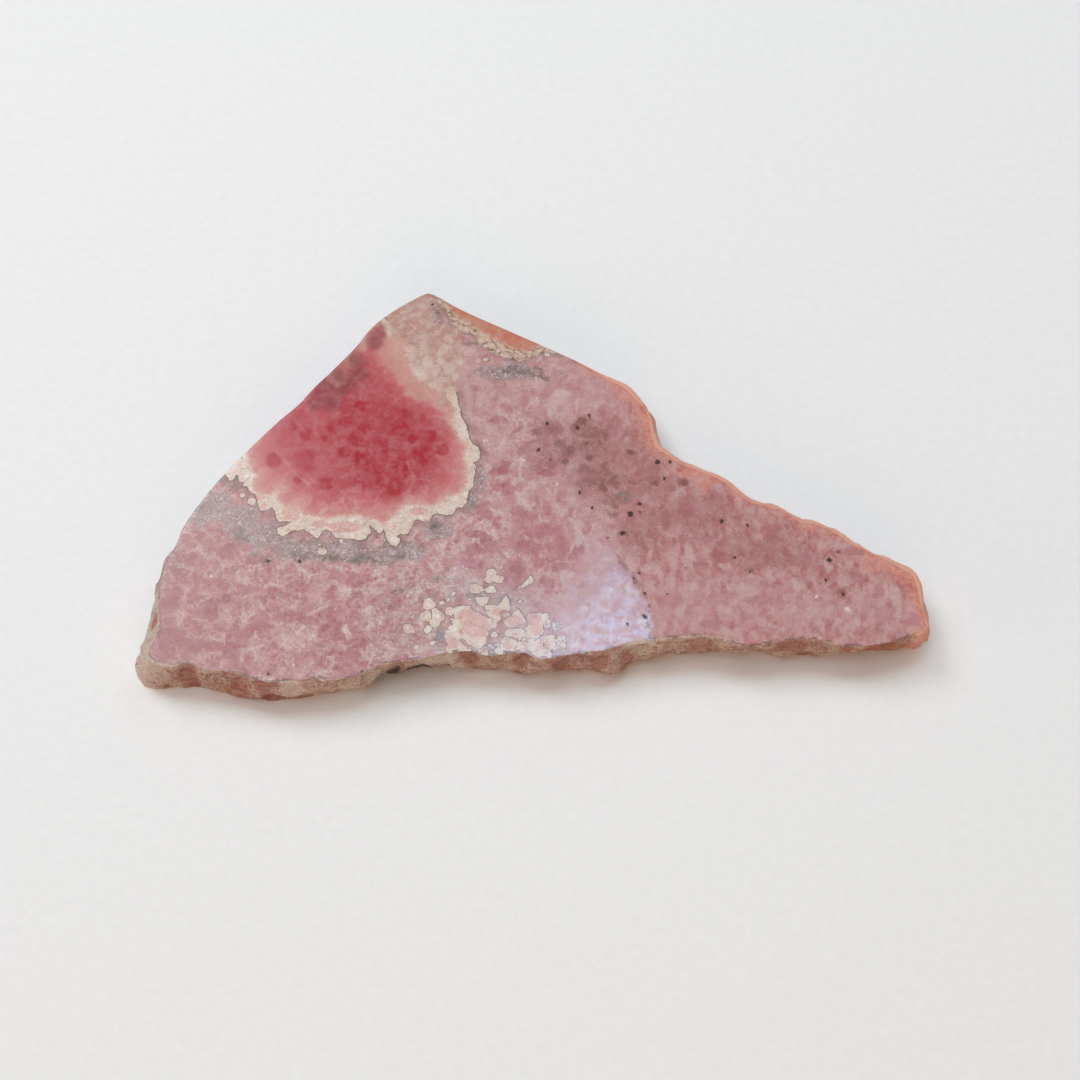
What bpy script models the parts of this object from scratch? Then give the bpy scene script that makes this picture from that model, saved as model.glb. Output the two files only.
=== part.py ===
"""A slice of rhodochrosite, sawn from a nodule and polished on top, lying on its sawn underside.

The slice is one piece of stone, so it is one object. It has two flat parallel faces. Its wall
between them changes along the outline: broken by hand, worn round, or cut by the saw.
Run with: blender --background --python part.py
"""
import math

import bmesh
import bpy
from mathutils import Vector, noise

MM = 0.001

# Driving dimensions, in millimetres.
SLICE_LENGTH = 101.0
SLICE_THICKNESS = 6.0

# Every edge finish: how rough the wall is, and how far a rounded shoulder spreads below the rim.
BROKEN = {"roughness": 0.75, "shoulder": 0.10}
WORN = {"roughness": 0.40, "shoulder": 0.95}
SAWN = {"roughness": 0.06, "shoulder": 0.08}
TRIMMED = {"roughness": 0.18, "shoulder": 0.15}

# The outline of the polished face, anticlockwise seen from above, in runs of one finish each.
# A station is (x, y, belly, foot) in millimetres. Belly and foot say how far the wall stands
# outside the rim at half height and at the underside; a negative foot is an undercut.
FRONT_BREAK = (
    (-48.7, -25.8, 1.2, 1.8), (-45.9, -26.8, 0.8, 0.3), (-43.8, -26.5, 0.9, 0.4), (-42.3, -27.2, 0.6, 0.0),
    (-40.2, -27.5, 0.8, 0.2), (-38.0, -27.8, 1.2, 0.6), (-36.6, -28.3, 1.0, 0.3), (-34.4, -29.0, 0.6, -0.2),
    (-31.1, -28.9, 0.7, -0.2), (-27.7, -28.6, 0.5, -0.6), (-25.6, -28.8, 0.0, -1.4), (-23.3, -28.4, 0.0, -1.5),
    (-21.4, -27.5, 0.1, -1.5), (-19.5, -26.6, 0.2, -2.6), (-17.0, -26.3, -0.2, -3.2), (-14.8, -25.8, 0.0, -3.4),
    (-12.7, -25.3, 0.4, -2.6), (-10.6, -24.9, 0.6, -1.0), (-8.7, -24.9, 0.7, -0.6), (-7.2, -25.4, 0.4, -0.9),
    (-5.1, -25.4, 0.4, -0.8), (-3.7, -25.1, 1.2, 0.1), (-2.1, -25.2, 1.4, 0.4), (-0.9, -25.8, 0.8, -0.3),
    (0.8, -25.9, 0.4, -0.9), (2.8, -25.5, 0.4, -0.9), (5.6, -25.0, 0.8, -0.6), (8.5, -24.6, 1.8, 0.5),
    (10.7, -23.7, 1.6, 0.2), (12.7, -23.4, 1.2, -0.2), (16.0, -23.0, 0.7, -0.8), (19.2, -22.8, 1.1, -0.4),
    (22.2, -22.9, 0.6, -1.2), (23.6, -23.4, 0.1, -2.0), (24.8, -24.1, -0.5, -2.4), (26.6, -23.9, -0.4, -2.2),
    (29.9, -23.5, 0.4, -1.0), (33.4, -23.1, 0.9, -0.6), (36.0, -23.5, 0.4, -1.4), (37.6, -24.1, -0.4, -2.4),
    (40.3, -24.1, -0.6, -2.5), (43.4, -23.7, -0.3, -2.0), (46.2, -22.8, 0.1, -1.6),
)
RIGHT_END = (
    (48.0, -22.0, -0.2, -1.4), (48.4, -21.2, -0.2, -0.9), (48.0, -18.7, 0.0, -0.4), (47.7, -16.1, 0.0, -0.2),
    (47.4, -14.6, 0.0, -0.2), (46.7, -13.6, 0.0, -0.3), (45.6, -12.9, 0.0, -0.4),
)
BACK_WORN = (
    (42.6, -11.1, 0.1, -0.4), (39.8, -9.6, 0.1, -0.4), (37.4, -7.8, 0.2, -0.3), (34.9, -6.6, 0.2, -0.2),
    (33.4, -6.4, 0.2, -0.2), (31.8, -5.3, 0.1, -0.3), (30.3, -4.4, 0.0, -0.4), (27.0, -3.4, 0.0, -0.4),
    (25.0, -1.7, 0.1, -0.3), (23.2, -0.1, 0.2, -0.2), (21.3, 0.9, 0.2, -0.2), (18.0, 2.3, 0.1, -0.3),
    (16.4, 3.7, 0.0, -0.4), (15.2, 4.6, 0.0, -0.4), (14.6, 6.4, 0.1, -0.4), (14.3, 8.9, 0.2, -0.3),
    (14.0, 10.1, 0.3, -0.2), (12.7, 12.0, 0.3, -0.2), (10.9, 14.1, 0.2, -0.3), (8.9, 15.1, 0.1, -0.3),
)
BACK_SAWN = (
    (5.9, 17.3, 0.1, -0.1), (1.6, 19.7, 0.0, 0.0), (-4.9, 23.1, 0.0, 0.0), (-10.6, 26.1, 0.0, 0.0),
    (-14.6, 28.7, 0.0, 0.0),
)
LEFT_TRIMMED = (
    (-15.4, 28.9, 0.0, 0.0), (-18.0, 27.4, 0.1, 0.0), (-20.8, 25.3, 0.1, 0.0), (-22.7, 23.4, 0.1, 0.0),
    (-24.9, 20.1, 0.0, 0.0), (-28.3, 15.9, 0.1, 0.1), (-29.6, 14.5, -0.2, 0.0), (-32.0, 11.3, 0.1, 0.1),
    (-34.9, 8.2, 0.1, 0.2), (-38.8, 3.6, 0.1, 0.2), (-42.2, -0.8, 0.2, 0.3), (-44.4, -4.4, 0.3, 0.4),
    (-46.0, -7.5, 0.3, 0.4),
)
LEFT_BREAK = (
    (-46.7, -9.7, 0.3, 0.6), (-48.1, -12.2, 0.5, 0.9), (-48.5, -15.4, 0.8, 1.4), (-48.3, -18.5, 1.2, 2.2),
    (-48.0, -21.7, 1.9, 3.3), (-48.9, -24.4, 1.6, 2.8),
)
EDGE_RUNS = (
    (FRONT_BREAK, BROKEN),
    (RIGHT_END, WORN),
    (BACK_WORN, WORN),
    (BACK_SAWN, SAWN),
    (LEFT_TRIMMED, TRIMMED),
    (LEFT_BREAK, BROKEN),
)

STEP_ALONG = 0.8  # spacing of the wall's columns
SHOULDER_DROP = 1.3  # height over which a shoulder rounds off
LEVELS = (0.0, 0.06, 0.16, 0.28, 0.41, 0.54, 0.67, 0.78, 0.87, 0.94, 0.98, 1.0)  # shares of the thickness

# Relief of the wall: lumps, then flat cleavage faces that step and tilt, then the rim's nicks.
LUMP_SIZE, LUMP_DEPTH = 4.5, 0.8
CLEAVAGE_SIZE, CLEAVAGE_STEP, CLEAVAGE_TILT = 2.4, 1.1, 0.9
NICK_SIZE, NICK_DEPTH = 1.4, 0.22
UNDERSIDE_NICK_DEPTH = 0.45
STANDING_SHARE = 0.45  # what is left of relief that would stand out, as chips are only lost

STONE_COLOR = (0.50, 0.20, 0.21, 1.0)
STONE_ROUGHNESS = 0.35


def clear_scene():
    for obj in list(bpy.data.objects):
        bpy.data.objects.remove(obj)


def stations():
    """All runs as one closed list of (x, y, belly, foot, roughness, shoulder)."""
    rows = []
    for run, finish in EDGE_RUNS:
        for x, y, belly, foot in run:
            rows.append((x, y, belly, foot, finish["roughness"], finish["shoulder"]))
    return rows


def catmull_rom(before, start, end, after, t):
    """One value on the smooth curve from start to end, at share t."""
    return 0.5 * (
        2 * start
        + (end - before) * t
        + (2 * before - 5 * start + 4 * end - after) * t**2
        + (3 * start - before - 3 * end + after) * t**3
    )


def columns():
    """The closed outline sampled every STEP_ALONG, with its wall values smoothly between."""
    rows = stations()
    count = len(rows)
    samples = []
    for i in range(count):
        around = [rows[(i + k) % count] for k in (-1, 0, 1, 2)]
        length = math.dist(around[1][:2], around[2][:2])
        steps = max(1, round(length / STEP_ALONG))
        for step in range(steps):
            t = step / steps
            place = [catmull_rom(*(row[axis] for row in around), t) for axis in (0, 1)]
            wall = [around[1][k] + (around[2][k] - around[1][k]) * t for k in (2, 3, 4, 5)]
            samples.append(place + wall)
    return samples


def outward_directions(samples):
    """A unit vector out of the outline at every column, from its neighbours two columns away."""
    count = len(samples)
    directions = []
    for i in range(count):
        before, after = samples[i - 2], samples[(i + 2) % count]
        along = Vector((after[0] - before[0], after[1] - before[1], 0.0))
        directions.append(Vector((along.y, -along.x, 0.0)).normalized())
    return directions


def wall_offset(height, belly, foot, shoulder):
    """How far the smooth wall stands outside the rim at a share of the thickness."""
    bow = belly * 4 * height * (1 - height) + foot * (1 - height) * (1 - 2 * height)
    fall = min(1.0, (1 - height) * SLICE_THICKNESS / SHOULDER_DROP)
    return bow + shoulder * math.sqrt(1 - (1 - fall) ** 2)


def cleavage(point):
    """Broken crystal faces: each grain has its own flat face, with its own height and tilt."""
    heart = noise.voronoi(point / CLEAVAGE_SIZE)[1][0]
    chance = noise.cell_vector(heart * 9.7) - Vector((0.5, 0.5, 0.5))
    return CLEAVAGE_STEP * chance.x + CLEAVAGE_TILT * chance.dot(point - heart * CLEAVAGE_SIZE)


def wall_relief(point, height, roughness):
    """Lumps and cleavage faces, fading out at the polished rim, and biting in more than out."""
    body = math.sin(math.pi * min(1.0, 0.12 + 0.88 * (1 - height))) ** 0.5 if height < 1 else 0.0
    lumps = LUMP_DEPTH * noise.noise(point / LUMP_SIZE)
    nick_depth = UNDERSIDE_NICK_DEPTH if height == 0 else NICK_DEPTH
    relief = body * (lumps + cleavage(point)) + nick_depth * noise.noise(point / NICK_SIZE)
    return roughness * (relief if relief < 0 else relief * STANDING_SHARE)


def wall_rings():
    """Rings of points from the underside to the polished face, all with the same columns."""
    samples = columns()
    directions = outward_directions(samples)
    rings = []
    for height in LEVELS:
        ring = []
        for (x, y, belly, foot, roughness, shoulder), outward in zip(samples, directions):
            smooth = Vector((x, y, height * SLICE_THICKNESS))
            smooth += outward * wall_offset(height, belly, foot, shoulder)
            ring.append(smooth + outward * wall_relief(smooth, height, roughness))
        rings.append(ring)
    return rings


def scaled_and_centred(rings):
    """The rings at SLICE_LENGTH, with the origin under the middle of their box, in metres."""
    points = [point for ring in rings for point in ring]
    low = [min(point[axis] for point in points) for axis in (0, 1)]
    high = [max(point[axis] for point in points) for axis in (0, 1)]
    middle = Vector(((low[0] + high[0]) / 2, (low[1] + high[1]) / 2, 0.0))
    across = SLICE_LENGTH / (high[0] - low[0])
    size = Vector((across, across, 1.0)) * MM
    return [[(point - middle) * size for point in ring] for ring in rings]


def stone_material():
    material = bpy.data.materials.new("rhodochrosite")
    material.use_nodes = True
    shader = material.node_tree.nodes["Principled BSDF"]
    shader.inputs["Base Color"].default_value = STONE_COLOR
    shader.inputs["Roughness"].default_value = STONE_ROUGHNESS
    shader.inputs["Metallic"].default_value = 0.0
    return material


def rhodochrosite_slice():
    """The whole stone: stacked rings joined by quads, closed by the two flat faces."""
    mesh = bpy.data.meshes.new("rhodochrosite_slice")
    shape = bmesh.new()
    rings = [[shape.verts.new(point) for point in ring] for ring in scaled_and_centred(wall_rings())]
    count = len(rings[0])
    for lower, upper in zip(rings, rings[1:]):
        for i in range(count):
            j = (i + 1) % count
            shape.faces.new((lower[i], lower[j], upper[j], upper[i]))
    shape.faces.new(reversed(rings[0]))
    shape.faces.new(rings[-1])
    bmesh.ops.recalc_face_normals(shape, faces=shape.faces)
    shape.to_mesh(mesh)
    shape.free()
    mesh.materials.append(stone_material())
    stone = bpy.data.objects.new("rhodochrosite_slice", mesh)
    bpy.context.scene.collection.objects.link(stone)
    return stone


clear_scene()
rhodochrosite_slice()
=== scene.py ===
"""Looks of a polished slice of rhodochrosite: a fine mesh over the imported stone, its markings and its light.

The stone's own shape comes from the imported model. This script refines its broken wall, gives the polished
face a fine mesh, writes the markings as distances on the points, and colours them with shader nodes.
Markings are listed in pixels of the 1080 x 1080 photograph and set on the polished face through its camera.
"""
import math

import bmesh
import bpy
import numpy as np
from mathutils import Matrix, Vector, geometry, kdtree, noise


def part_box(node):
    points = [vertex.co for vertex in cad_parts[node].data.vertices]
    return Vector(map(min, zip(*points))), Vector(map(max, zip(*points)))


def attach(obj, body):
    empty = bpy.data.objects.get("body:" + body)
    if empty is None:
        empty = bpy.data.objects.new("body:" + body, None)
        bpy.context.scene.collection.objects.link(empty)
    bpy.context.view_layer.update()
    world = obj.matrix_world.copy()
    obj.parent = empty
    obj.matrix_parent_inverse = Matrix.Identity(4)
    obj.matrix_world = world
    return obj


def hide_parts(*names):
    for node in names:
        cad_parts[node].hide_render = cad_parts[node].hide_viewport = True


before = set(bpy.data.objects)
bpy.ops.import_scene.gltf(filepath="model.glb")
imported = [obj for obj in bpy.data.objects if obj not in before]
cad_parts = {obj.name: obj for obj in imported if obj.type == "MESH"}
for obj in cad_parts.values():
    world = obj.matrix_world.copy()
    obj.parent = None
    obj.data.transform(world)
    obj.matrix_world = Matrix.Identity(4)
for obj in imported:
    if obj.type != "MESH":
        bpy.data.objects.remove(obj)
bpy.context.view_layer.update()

NODE = "rhodochrosite_slice"
LOW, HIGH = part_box(NODE)
TOP = HIGH.z
MM = 0.001

# ---------------------------------------------------------------- camera
FRAME_PX = 1080
FOCAL_PX = 2250
SENSOR_WIDTH = 36
CAMERA_ELEVATION = math.radians(62)
CAMERA_DISTANCE = 0.288
AIM = Vector((1.127 * MM, -8.657 * MM, TOP))  # what the middle of the frame looks at
AHEAD = Vector((0, math.cos(CAMERA_ELEVATION), -math.sin(CAMERA_ELEVATION)))
RIGHTWARD = Vector((1, 0, 0))
UPWARD = RIGHTWARD.cross(AHEAD)
CAMERA_PLACE = AIM - AHEAD * CAMERA_DISTANCE
PX = CAMERA_DISTANCE / FOCAL_PX  # one pixel on the polished face near the aim, in metres


def camera():
    lens = bpy.data.cameras.new("photo_camera")
    lens.sensor_fit = "HORIZONTAL"
    lens.sensor_width = SENSOR_WIDTH
    lens.lens = SENSOR_WIDTH * FOCAL_PX / FRAME_PX
    lens.clip_start, lens.clip_end = 0.01, 10
    eye = bpy.data.objects.new("photo_camera", lens)
    turn = Matrix((RIGHTWARD, UPWARD, -AHEAD)).transposed().to_4x4()
    eye.matrix_world = Matrix.Translation(CAMERA_PLACE) @ turn
    bpy.context.scene.collection.objects.link(eye)
    bpy.context.scene.camera = eye


def on_face(pixels, height=TOP):
    """Pixels of the photograph as x and y on a level plane of the stone, in millimetres."""
    pixels = np.atleast_2d(np.array(pixels, float))[:, :2] - FRAME_PX / 2
    rays = np.array(AHEAD) + (np.outer(pixels[:, 0], RIGHTWARD) - np.outer(pixels[:, 1], UPWARD)) / FOCAL_PX
    reach = (height - CAMERA_PLACE.z) / rays[:, 2]
    return (np.array(CAMERA_PLACE)[:2] + rays[:, :2] * reach[:, None]) / MM


# ---------------------------------------------------------------- markings, in pixels of the photograph
# The large nodule: the outer edge of its cream rim, and the line where pink turns to cream.
NODULE_RIM = (
    (372, 316), (384, 317), (393, 325), (400, 334), (407, 342), (422, 349), (432, 361), (440, 376),
    (447, 379), (452, 385), (456, 392), (458, 399), (460, 408), (462, 417), (467, 425), (469, 435),
    (472, 443), (479, 447), (481, 454), (480, 459), (474, 463), (476, 466), (476, 471), (474, 478),
    (474, 486), (469, 492), (467, 503), (462, 508), (457, 508), (453, 515), (447, 516), (438, 514),
    (432, 516), (430, 522), (424, 522), (416, 519), (412, 527), (408, 535), (403, 535), (400, 534),
    (397, 536), (401, 539), (400, 543), (396, 547), (391, 546), (387, 541), (385, 534), (383, 530),
    (382, 533), (378, 534), (374, 529), (370, 526), (372, 534), (369, 535), (366, 539), (361, 541),
    (354, 540), (351, 539), (338, 539), (334, 537), (331, 532), (326, 530), (322, 531), (321, 535),
    (318, 539), (314, 537), (309, 533), (304, 530), (298, 531), (291, 531), (287, 535), (282, 537),
    (277, 534), (276, 529), (279, 527), (285, 525), (291, 522), (284, 522), (279, 522), (276, 519),
    (275, 514), (272, 508), (266, 511), (260, 511), (258, 506), (255, 495), (250, 492), (247, 487),
    (242, 486), (244, 482), (239, 482), (237, 475), (234, 480), (229, 481), (226, 475), (215, 470),
    (200, 470), (230, 420), (300, 360), (360, 310),
)
NODULE_PINK = (
    (247, 452), (249, 462), (251, 472), (257, 475), (252, 479), (254, 491), (260, 494), (271, 494),
    (278, 491), (279, 502), (286, 507), (296, 507), (304, 514), (314, 517), (327, 518), (345, 516),
    (360, 515), (365, 518), (374, 518), (384, 524), (393, 515), (404, 506), (419, 504), (432, 506),
    (438, 503), (447, 496), (460, 494), (467, 483), (467, 467), (463, 458), (466, 447), (458, 436),
    (452, 420), (455, 409), (447, 400), (442, 395), (434, 386), (420, 379), (411, 372), (399, 360),
    (392, 350), (388, 338), (385, 325), (365, 305), (300, 350), (230, 420),
)
# The redder core.
NODULE_CORE = (
    (341, 391), (357, 392), (374, 394), (393, 397), (403, 403), (418, 404), (432, 407), (447, 413),
    (456, 426), (452, 445), (439, 458), (435, 476), (424, 487), (412, 497), (397, 503), (380, 500),
    (366, 492), (352, 486), (343, 474), (338, 458), (332, 440), (328, 424), (331, 408),
)
# The straight upper border of the core.
CORE_TOP = (
    (318, 404), (341, 399), (357, 400), (374, 402), (393, 405), (403, 411), (418, 412), (432, 415),
    (447, 421), (456, 432),
)
# Rounder cells of the nodule as (x, y, radius): darker ones in the core, and plum ones at the sawn edge.
DARK_CELLS = (
    (305, 460, 10), (364, 427, 7), (355, 439, 8.5), (345, 422, 6), (307, 434, 7), (324, 438, 3.5),
    (345, 452, 6.5), (361, 460, 9.5), (373, 479, 13), (330, 429, 4), (293, 427, 5), (384, 443, 6),
    (385, 454, 6), (400, 428, 9), (422, 454, 10), (412, 439, 5), (430, 436, 7), (443, 450, 6),
    (274, 460, 8), (327, 482, 8), (298, 479, 5), (400, 470, 12), (395, 488, 9), (405, 415, 7),
    (360, 406, 6),
)
SHADE_CELLS = (
    (327, 388, 11), (349, 381, 11), (359, 374, 10), (356, 361, 10), (331, 402, 10), (316, 403, 9),
    (375, 341, 10), (338, 376, 9), (381, 333, 8), (322, 393, 8), (343, 390, 8), (386, 326, 7),
)
# Thin pale lines between cells.
PALE_CELL_LINES = (
    ((276, 451), (283, 459), (292, 470), (300, 478), (309, 484)),
    ((292, 470), (284, 476), (279, 488)),
    ((407, 462), (415, 479), (409, 491)),
    ((356, 448), (364, 449)),
    ((341, 499), (347, 507)),
)
# The second nodule, cut by the sawn edge: its buff rim, and the line where coral begins.
CORAL_RIM = (
    (430, 290), (433, 298), (443, 308), (451, 324), (460, 332), (472, 334), (478, 344), (487, 350),
    (496, 355), (506, 358), (518, 363), (527, 360), (536, 358), (542, 353), (552, 354), (562, 356),
    (580, 340), (480, 290),
)
CORAL_HEART = (
    (436, 290), (446, 305), (455, 317), (470, 324), (481, 333), (494, 339), (506, 347), (521, 352),
    (534, 349), (545, 343), (560, 330), (480, 285),
)
# Cream spherulites: discs (x, y, radius), faint discs and outlines.
CREAM_DISCS = (
    (491.5, 573, 5.5), (489, 579, 4.5), (498, 579.5, 5), (449.5, 611, 4.5), (426, 616.5, 6),
    (438.5, 616.5, 6), (434.5, 623, 5.5), (428, 629.5, 4), (435, 611.5, 4), (408.5, 628.5, 5.5),
    (413.5, 632, 2), (413.5, 616.5, 2.3), (433, 643.5, 2.4), (452.5, 593.5, 2.6), (447.5, 599.5, 2.4),
    (441.5, 603, 2.6), (451.5, 618.5, 1.8), (499, 618, 2.5), (493, 625, 4), (493.5, 635, 3.5),
    (490.5, 644.5, 2.1), (485.5, 654, 2.7), (499.5, 652.5, 4), (520, 601.5, 2), (523, 645, 5),
    (549, 655, 3), (242.5, 495.5, 2.7), (251.5, 501, 4), (342, 541, 2.7), (331.5, 541, 1.5),
    (322, 551.5, 4.5), (320, 545, 1.6), (486.5, 359, 3), (547, 355, 3), (384, 541, 1.6),
)
SOFT_BEADS = (
    (448, 339, 4), (437, 333, 3.5), (449, 369, 6), (451, 391, 5), (452, 397, 5), (428, 361, 6),
    (443, 350, 5), (441, 354, 3.5), (467, 353, 4), (471, 352, 4), (434, 369, 6), (456, 378, 4),
    (440, 361, 4), (425, 374, 4), (424, 346, 4), (432, 385, 4), (460, 362, 3), (479, 361, 3),
)
CREAM_SHAPES = (
    ((469.5, 583), (477.5, 583.5), (484.5, 588), (483, 591), (476, 594), (469.5, 591.5)),
    ((483.5, 589), (489.5, 585), (494, 586), (496, 592), (491, 593), (485.5, 593)),
    ((475.5, 596), (483, 597.5), (489.5, 596), (487.5, 601.5), (485, 606.5), (480, 605.5), (476.5, 602.5)),
    ((505.5, 595.5), (508, 599), (511, 607), (509.5, 610.5), (503, 609.5), (500, 615), (500, 620.5),
     (495.5, 621.5), (489.5, 616.5), (485, 609.5), (485.5, 605.5), (492, 605.5), (497.5, 605.5),
     (501.5, 600.5)),
    ((454, 607.5), (462.5, 605.5), (470.5, 606), (472, 611), (483, 615), (491, 619), (497, 621.5),
     (496, 627), (489.5, 631), (486, 636.5), (487, 642), (483, 646), (478.5, 650), (472.5, 647), (468, 646),
     (465.5, 642), (461.5, 638), (457.5, 639), (461.5, 643), (465.5, 647), (466.5, 651), (457.5, 652),
     (449.5, 654), (446, 652.5), (446.5, 644.5), (445.5, 639), (444, 634), (448, 629.5), (452, 625.5),
     (454, 620.5), (454.5, 615), (452.5, 613)),
    ((422.5, 599.5), (429, 599), (436.5, 605), (432.5, 609), (428, 611), (423, 608.5)),
    ((504, 621.5), (506.5, 617.5), (513.5, 612.5), (517.5, 609), (522, 613.5), (525.5, 619), (526, 621.5),
     (521.5, 624.5), (513.5, 627), (506.5, 627)),
    ((527.5, 613.5), (539, 613), (549, 613), (547, 620.5), (543, 625.5), (544, 631), (539, 636.5),
     (532, 639), (527, 634), (524, 629.5), (527, 627), (529, 623), (526, 618.5)),
    ((504, 632.5), (508, 628.5), (516, 628.5), (524, 631), (527, 636.5), (520, 638), (512, 636.5),
     (506.5, 636.5)),
    ((501.5, 646), (502.5, 640.5), (512, 638.5), (517.5, 642), (516, 648.5), (508, 651), (502.5, 650)),
    ((527, 643), (535, 642), (543, 639), (549.5, 635), (555.5, 634.5), (555, 642), (556, 651), (547, 644.5),
     (543.5, 642), (543.5, 655), (539, 658), (533.5, 655), (529, 650)),
    ((530, 576), (534, 579.5), (531, 583.5), (523, 587.5), (517.5, 589), (515.5, 587.5), (520, 586),
     (525, 581)),
)
# Pink hearts inside the cream, as (x, y, half width, half height).
PINK_HEARTS = (
    (476, 626, 13, 11), (466, 616, 8, 6), (452, 643, 6, 6), (515, 620, 8, 5), (534, 619, 7, 6),
    (508, 645, 4, 4), (536, 630, 5, 5), (497, 612, 5, 4), (545, 644, 5, 6), (265, 485, 11, 8),
    (292, 515, 8, 6), (345, 527, 16, 5), (320, 524, 8, 4), (264, 506, 3, 3), (419, 511, 9, 4),
    (290, 512, 8, 5),
)
# From here on patches are (x, y, half width, half height). Darker and paler grains of the stone:
ROSE_PATCHES = (
    (232, 547, 6, 6), (208, 563, 8, 5), (192, 557, 6, 6), (178, 556, 7, 6), (179, 571, 12, 5),
    (174, 594, 10, 7), (212, 610, 8, 10), (199, 615, 8, 6), (171, 606, 10, 8), (170, 618, 8, 5),
    (236, 627, 6, 6), (234, 639, 12, 11), (195, 644, 9, 7), (212, 646, 7, 5), (232, 654, 10, 6),
    (171, 634, 14, 8), (163, 646, 6, 6), (166, 656, 9, 4), (247, 591, 12, 5), (227, 599, 7, 5),
    (298, 584, 10, 5), (281, 594, 12, 4), (287, 616, 9, 8), (265, 618, 8, 8), (269, 650, 8, 6),
    (306, 620, 8, 5), (325, 616, 8, 9), (322, 632, 7, 7), (350, 580, 16, 8), (329, 594, 6, 6),
    (356, 598, 8, 6), (327, 619, 14, 12), (346, 615, 14, 8), (358, 624, 10, 8), (337, 636, 8, 6),
    (357, 642, 10, 5), (337, 652, 6, 6), (362, 663, 7, 5), (350, 658, 10, 6), (471, 563, 14, 6),
    (388, 602, 16, 10), (396, 626, 14, 9), (495, 548, 12, 6), (508, 567, 6, 6), (498, 423, 9, 5),
    (500, 472, 12, 5), (509, 488, 7, 6), (488, 542, 8, 6), (519, 511, 8, 6), (538, 531, 14, 8),
    (558, 534, 8, 5), (530, 515, 10, 5), (476, 535, 10, 5), (474, 551, 10, 5), (547, 472, 10, 5),
    (543, 550, 9, 5), (528, 547, 12, 6), (579, 550, 7, 8), (550, 582, 8, 5), (559, 567, 8, 5),
    (520, 567, 8, 8), (624, 571, 6, 8), (675, 598, 10, 6), (856, 552, 10, 5), (798, 555, 12, 4),
    (881, 590, 6, 7), (917, 618, 9, 7), (907, 586, 9, 8), (882, 616, 7, 8), (754, 600, 12, 4),
    (715, 598, 8, 6), (709, 626, 8, 5), (858, 577, 6, 6), (605, 414, 6, 9), (610, 430, 6, 8),
    (561, 443, 6, 6), (667, 520, 5, 8), (690, 510, 12, 8), (705, 540, 8, 5), (770, 528, 9, 5),
    (640, 470, 6, 6),
)
PALE_PATCHES = (
    (206, 626, 6, 4), (253, 640, 4, 10), (292, 637, 17, 5), (310, 638, 9, 4), (340, 596, 12, 6),
    (398, 573, 5, 6), (404, 640, 7, 4), (417, 648, 6, 5), (370, 659, 12, 4), (322, 673, 12, 4),
    (340, 649, 6, 6), (484, 441, 5, 5), (524, 495, 4, 8), (557, 508, 5, 6), (506, 552, 8, 5),
    (578, 531, 5, 18), (600, 404, 5, 6), (674, 495, 7, 5), (702, 534, 3, 8), (848, 609, 6, 5),
    (774, 627, 6, 5), (724, 566, 8, 5), (798, 584, 8, 5), (894, 601, 7, 18), (838, 620, 5, 5),
    (858, 620, 5, 6), (723, 610, 8, 5), (647, 570, 6, 5), (468, 400, 6, 22), (486, 392, 12, 18),
    (505, 400, 8, 5), (530, 385, 8, 5), (455, 352, 8, 6), (480, 378, 7, 8), (575, 500, 8, 8),
    (560, 400, 8, 5), (625, 440, 6, 5), (688, 560, 8, 8), (740, 585, 9, 6), (770, 575, 8, 8),
    (690, 585, 8, 5),
)
PALE_VEINS = (
    ((214, 552), (222, 565), (223, 572), (231, 580), (236, 591), (240, 595)),
    ((219, 604), (219, 615), (231, 620), (240, 623), (243, 607), (246, 603)),
    ((259, 600), (267, 612), (274, 620)),
    ((254, 604), (255, 615)),
    ((308, 614), (318, 611), (326, 606)),
    ((275, 652), (286, 644), (292, 640)),
    ((293, 594), (296, 589)),
    ((357, 658), (370, 659)),
    ((568, 518), (578, 530), (589, 545)),
    ((148, 655), (165, 661), (186, 662), (198, 667)),
    ((158, 640), (150, 652), (140, 659)),
    ((185, 600), (187, 612), (178, 622)),
    ((214, 630), (222, 633), (224, 645)),
    ((255, 630), (256, 650), (262, 660)),
    ((330, 566), (345, 568), (362, 572)),
    ((300, 570), (305, 578)),
    ((180, 580), (190, 575), (200, 570)),
)
# Grey-lilac zones round the nodule, then grey-green stains.
LILAC_ZONES = (
    (195, 515, 14, 14), (215, 505, 16, 14), (240, 520, 18, 14), (262, 535, 18, 14), (290, 550, 20, 12),
    (320, 552, 22, 11), (350, 553, 20, 11), (380, 556, 20, 10), (410, 550, 20, 10), (440, 530, 14, 10),
    (470, 500, 8, 12), (480, 478, 5, 12), (438, 318, 8, 12), (510, 372, 34, 10), (440, 640, 8, 12),
    (478, 598, 14, 6), (505, 602, 12, 8), (490, 650, 14, 8),
)
FAINT_LILAC_ZONES = (
    (385, 610, 24, 30), (400, 640, 32, 22), (432, 600, 30, 16), (460, 586, 30, 18), (410, 588, 22, 16),
    (500, 598, 28, 14), (530, 600, 20, 12), (170, 560, 14, 20),
)
CROWDED = (
    (522, 640, 24, 13), (540, 622, 12, 10), (505, 648, 14, 8), (474, 652, 20, 4), (548, 645, 12, 12),
    (452, 634, 7, 18), (556, 626, 8, 7), (561, 643, 8, 10),
)
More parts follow.
